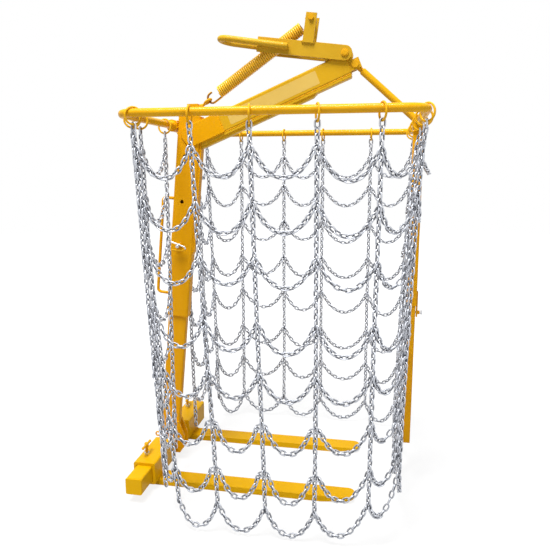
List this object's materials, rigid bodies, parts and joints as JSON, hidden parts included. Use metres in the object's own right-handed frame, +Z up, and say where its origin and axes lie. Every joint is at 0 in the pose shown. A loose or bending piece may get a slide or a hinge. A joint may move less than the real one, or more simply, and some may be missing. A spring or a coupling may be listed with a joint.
{
  "type": "self-balancing crane fork",
  "caption": "Crane-hung pallet fork with telescopic mast, spring-balanced lifting lever, sliding tines and a chain safety net on a tube hoop.",
  "frame": {"origin": "on the ground under the middle of the fork's bounding box, with the tines' undersides at z = 0", "axes": "+X from the mast out along the tines, +Y to the left when looking along +X, +Z up"},
  "size_m": [1.4328, 1.3988, 2.3315],
  "materials": {
    "frame_paint": "gloss",
    "tube_paint": "gloss",
    "lever_paint": "gloss",
    "fork_paint": "gloss",
    "pin_paint": "gloss",
    "spring_paint": "gloss",
    "ring_paint": "gloss",
    "galvanised": "bright galvanised",
    "zinc": "zinc plated"
  },
  "bodies": {
    "frame": {"outer_mast": "frame_paint", "mast_strip": "frame_paint", "mast_head": "frame_paint", "rear_handle": "frame_paint", "boom": "frame_paint", "boom_doublers": "frame_paint", "boom_cheeks": "frame_paint", "boom_nose": "frame_paint", "eye_bolt": "pin_paint", "hoop": "tube_paint", "hoop_sleeve": "frame_paint", "tie_rod": "tube_paint", "tie_pin": "pin_paint", "net_rings": "ring_paint", "net_top_links": "galvanised", "net_right": "galvanised", "net_left": "galvanised", "net_rear": "galvanised", "net_front": "galvanised"},
    "lower_mast": {"inner_mast": "frame_paint", "foot_plates": "frame_paint", "crossbar": "fork_paint", "crossbar_caps": "fork_paint"},
    "right_carriage": {"right_tine": "fork_paint", "right_sleeve": "fork_paint", "right_clamp_nut": "zinc"},
    "left_carriage": {"left_tine": "fork_paint", "left_sleeve": "fork_paint", "left_clamp_nut": "zinc"},
    "right_screw": {"right_clamp_screw": "pin_paint"},
    "left_screw": {"left_clamp_screw": "pin_paint"},
    "mast_lock": {"lock_pin": "pin_paint"},
    "lever": {"right_lever_plate": "lever_paint", "left_lever_plate": "lever_paint", "lever_stop": "lever_paint", "lifting_loop": "lever_paint", "spring_bracket": "lever_paint", "spring_bolt": "pin_paint", "pivot_pin": "pin_paint"},
    "spring_anchor": {"balance_spring": "spring_paint", "spring_lower_hook": "spring_paint"},
    "spring_head": {"spring_upper_hook": "spring_paint"},
    "post": {"post_outer": "frame_paint"},
    "post_leg": {"post_inner": "frame_paint"},
    "post_screw": {"post_clamp_screw": "zinc"}
  },
  "joints": [
    {"name": "mast_slide", "type": "slide", "parent": "frame", "child": "lower_mast", "axis": [0.0958, 0, 0.9954], "range_m": [0, 0.23], "deforming": ["net_right", "net_left", "net_rear", "net_front"]},
    {"name": "right_tine_slide", "type": "slide", "parent": "lower_mast", "child": "right_carriage", "axis": [0, 1, 0], "range_m": [-0.12, 0.04], "deforming": ["net_right", "net_left", "net_rear", "net_front"]},
    {"name": "left_tine_slide", "type": "slide", "parent": "lower_mast", "child": "left_carriage", "axis": [0, 1, 0], "range_m": [-0.12, 0.04], "deforming": ["net_right", "net_left", "net_rear", "net_front"]},
    {"name": "right_screw_turn", "type": "hinge", "parent": "right_carriage", "child": "right_screw", "pos_m": [-0.66123, -0.2775, 0.0868], "axis": [0, 0, 1], "range_deg": [0, 340]},
    {"name": "left_screw_turn", "type": "hinge", "parent": "left_carriage", "child": "left_screw", "pos_m": [-0.66123, 0.3615, 0.0868], "axis": [0, 0, 1], "range_deg": [0, 340]},
    {"name": "lock_pin_pull", "type": "slide", "parent": "frame", "child": "mast_lock", "axis": [0, -1, 0], "range_m": [0, 0.1]},
    {"name": "lever_pivot", "type": "hinge", "parent": "frame", "child": "lever", "pos_m": [0.30739, 0, 2.14397], "axis": [0, 1, 0], "range_deg": [0, 70], "stiffness_Nm_per_rad": 180, "springref_deg": -20.05, "deforming": ["balance_spring", "spring_lower_hook", "spring_upper_hook"]},
    {"name": "spring_swing", "type": "hinge", "parent": "frame", "child": "spring_anchor", "pos_m": [-0.36405, 0, 1.95258], "axis": [0, 1, 0], "range_deg": [-1, 8]},
    {"name": "spring_stretch", "type": "slide", "parent": "spring_anchor", "child": "spring_head", "axis": [0.8224, 0, 0.5689], "range_m": [0, 0.25], "deforming": ["balance_spring", "spring_lower_hook", "spring_upper_hook"]},
    {"name": "post_swing", "type": "hinge", "parent": "frame", "child": "post", "pos_m": [0.66143, 0, 1.825], "axis": [0, -1, 0], "range_deg": [-10, 100], "deforming": ["net_right", "net_left", "net_rear", "net_front"]},
    {"name": "post_slide", "type": "slide", "parent": "post", "child": "post_leg", "axis": [0, 0, 1], "range_m": [-0.15, 0.44]},
    {"name": "post_screw_turn", "type": "hinge", "parent": "post", "child": "post_screw", "pos_m": [0.66143, 0, 0.898], "axis": [1, 0, 0], "range_deg": [0, 340]}
  ],
  "couplings": [
    {"joint": "spring_swing", "follows": "lever_pivot", "ratio": 0.105},
    {"joint": "spring_stretch", "follows": "lever_pivot", "m_per_rad": 0.1998}
  ]
}
